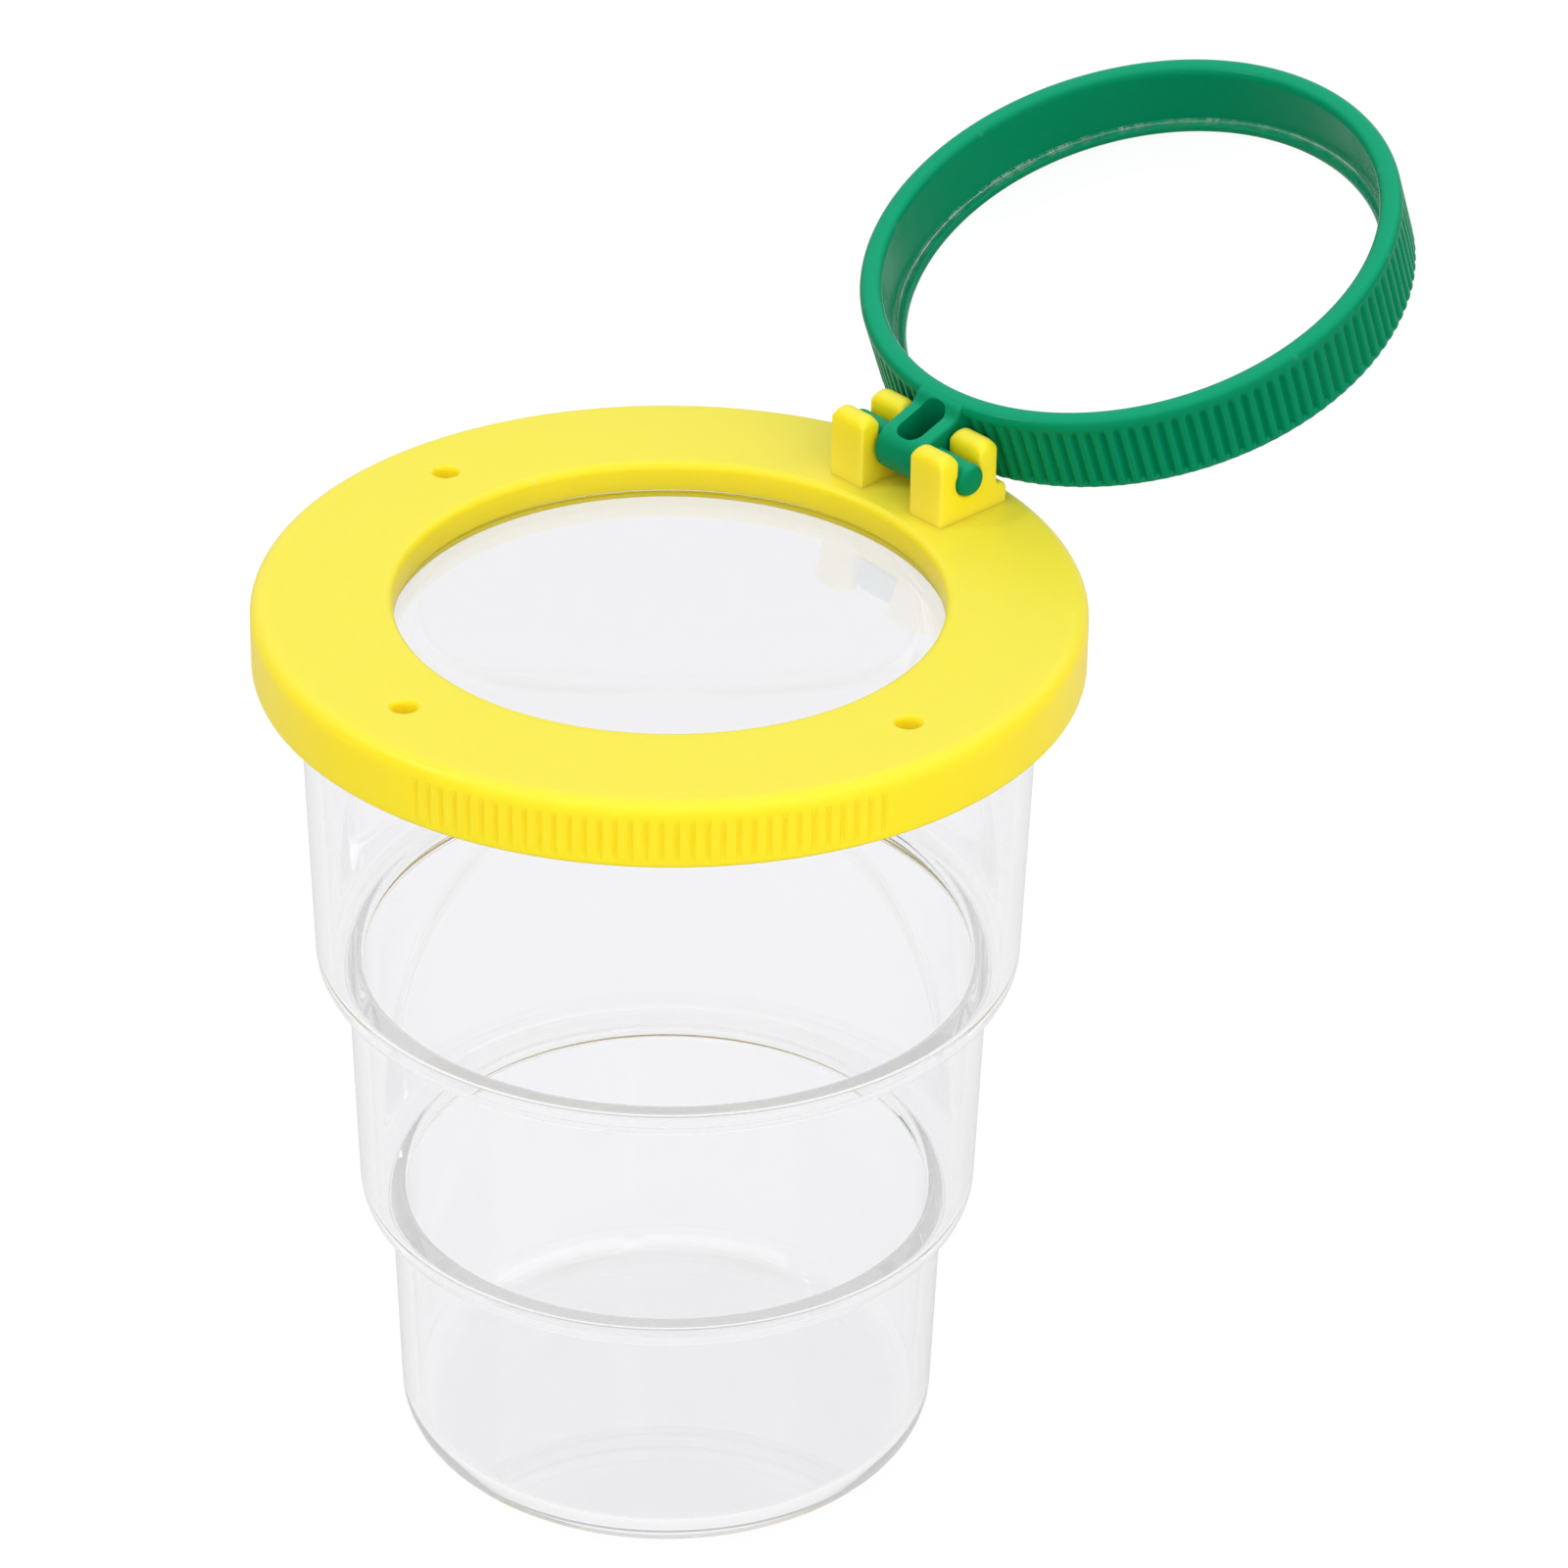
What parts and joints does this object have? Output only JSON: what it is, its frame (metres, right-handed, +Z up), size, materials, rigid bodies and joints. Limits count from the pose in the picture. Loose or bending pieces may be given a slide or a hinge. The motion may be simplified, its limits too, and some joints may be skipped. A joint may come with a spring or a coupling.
{
  "type": "bug catcher jar",
  "caption": "Clear stepped jar with a press-on yellow lid that holds a large viewing lens, and a second lens in a ribbed green ring hinged on the lid.",
  "frame": {"origin": "middle of the jar's flat base", "axes": "+Z up along the jar's axis, +Y from the jar's axis towards the hinge, +X along the hinge pin"},
  "size_m": [0.08, 0.1296, 0.1214],
  "materials": {
    "clear_jar": "clear gloss",
    "yellow": "satin",
    "clear_lens": "clear gloss",
    "green": "satin"
  },
  "bodies": {
    "jar": {"jar": "clear_jar"},
    "lid": {"lid": "yellow", "lid_lens": "clear_lens"},
    "magnifier": {"magnifier_frame": "green", "magnifier_lens": "clear_lens"}
  },
  "joints": [
    {"name": "lid_lift", "type": "slide", "parent": "jar", "child": "lid", "axis": [0, 0, 1], "range_m": [0, 0.04]},
    {"name": "magnifier_hinge", "type": "hinge", "parent": "lid", "child": "magnifier", "pos_m": [0, 0.032, 0.09805], "axis": [-1, 0, 0], "range_deg": [-160.4, 2]}
  ]
}
